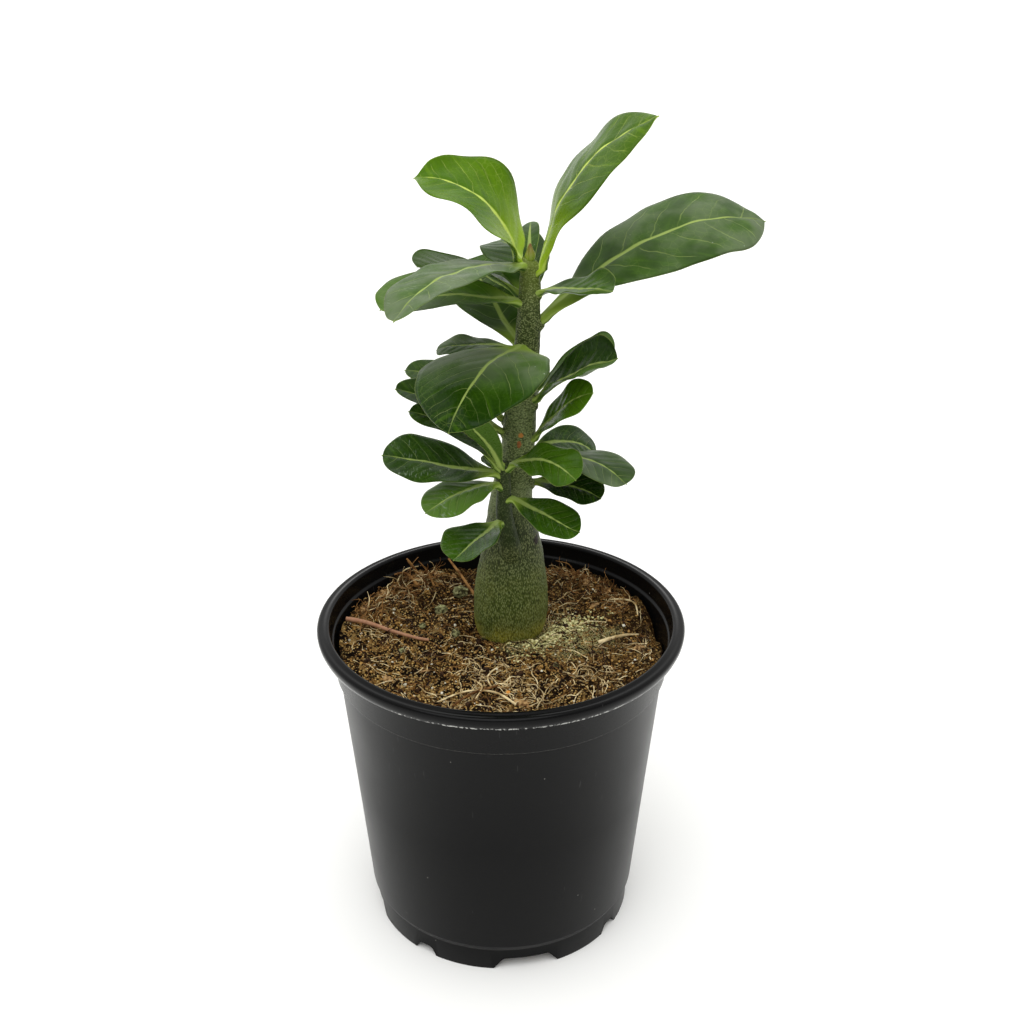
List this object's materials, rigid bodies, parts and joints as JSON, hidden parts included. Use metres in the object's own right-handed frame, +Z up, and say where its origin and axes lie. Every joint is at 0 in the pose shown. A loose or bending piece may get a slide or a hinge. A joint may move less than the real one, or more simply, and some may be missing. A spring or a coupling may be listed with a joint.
{
  "type": "potted desert rose plant",
  "caption": "Young desert rose with a swollen caudex, an upright trunk, a side shoot and glossy leathery leaves, in a round tapered black nursery pot of fibrous potting mix.",
  "frame": {"origin": "middle of the flat underside of the pot's floor", "axes": "+Z up along the pot's axis; -Y is the front, where the side shoot is; +X is the side of the longest leaf"},
  "size_m": [0.1789, 0.15, 0.3375],
  "materials": {
    "pot_plastic": "satin black moulded polypropylene, slightly scuffed and dusty, greyer along the rim",
    "potting_mix": "coarse brown coir fibre and bark crumbs with dark pits, pale fibres and perlite",
    "bark": "matte grey-green bark, finely pebbled above and streaked upright on the caudex",
    "bud": "satin yellow-green with brown edges",
    "root_bark": "matte red-brown, wrinkled",
    "leaf_young": "soft gloss bright green with a pale midrib",
    "leaf_mature": "glossy dark green with a pale midrib and faint side veins"
  },
  "bodies": {
    "root": {"pot": "pot_plastic", "soil": "potting_mix", "caudex_stem": "bark", "apical_bud": "bud", "root_twig": "root_bark", "leaf_top_left": "leaf_young", "leaf_top_right": "leaf_young", "leaf_top_front_left": "leaf_mature", "leaf_top_back": "leaf_mature", "leaf_long_right": "leaf_mature", "leaf_curled_right": "leaf_mature", "leaf_upper_left": "leaf_mature", "leaf_upper_left_back": "leaf_mature", "leaf_upper_back": "leaf_mature", "leaf_back_left": "leaf_mature", "leaf_broad_front": "leaf_mature", "leaf_middle_left": "leaf_mature", "leaf_middle_right": "leaf_mature", "leaf_folded_right": "leaf_mature", "leaf_narrow_left": "leaf_mature", "leaf_narrow_left_low": "leaf_mature", "leaf_small_right": "leaf_mature", "leaf_low_right_back": "leaf_mature", "leaf_low_right_long": "leaf_mature", "leaf_low_right": "leaf_mature", "leaf_shoot_high_left": "leaf_mature", "leaf_shoot_inner_left": "leaf_mature", "leaf_shoot_right": "leaf_mature", "leaf_shoot_tiny": "leaf_mature", "leaf_shoot_left": "leaf_mature", "leaf_shoot_low_left": "leaf_mature", "leaf_shoot_low_right": "leaf_mature", "leaf_caudex_left": "leaf_mature"}
  },
  "joints": []
}
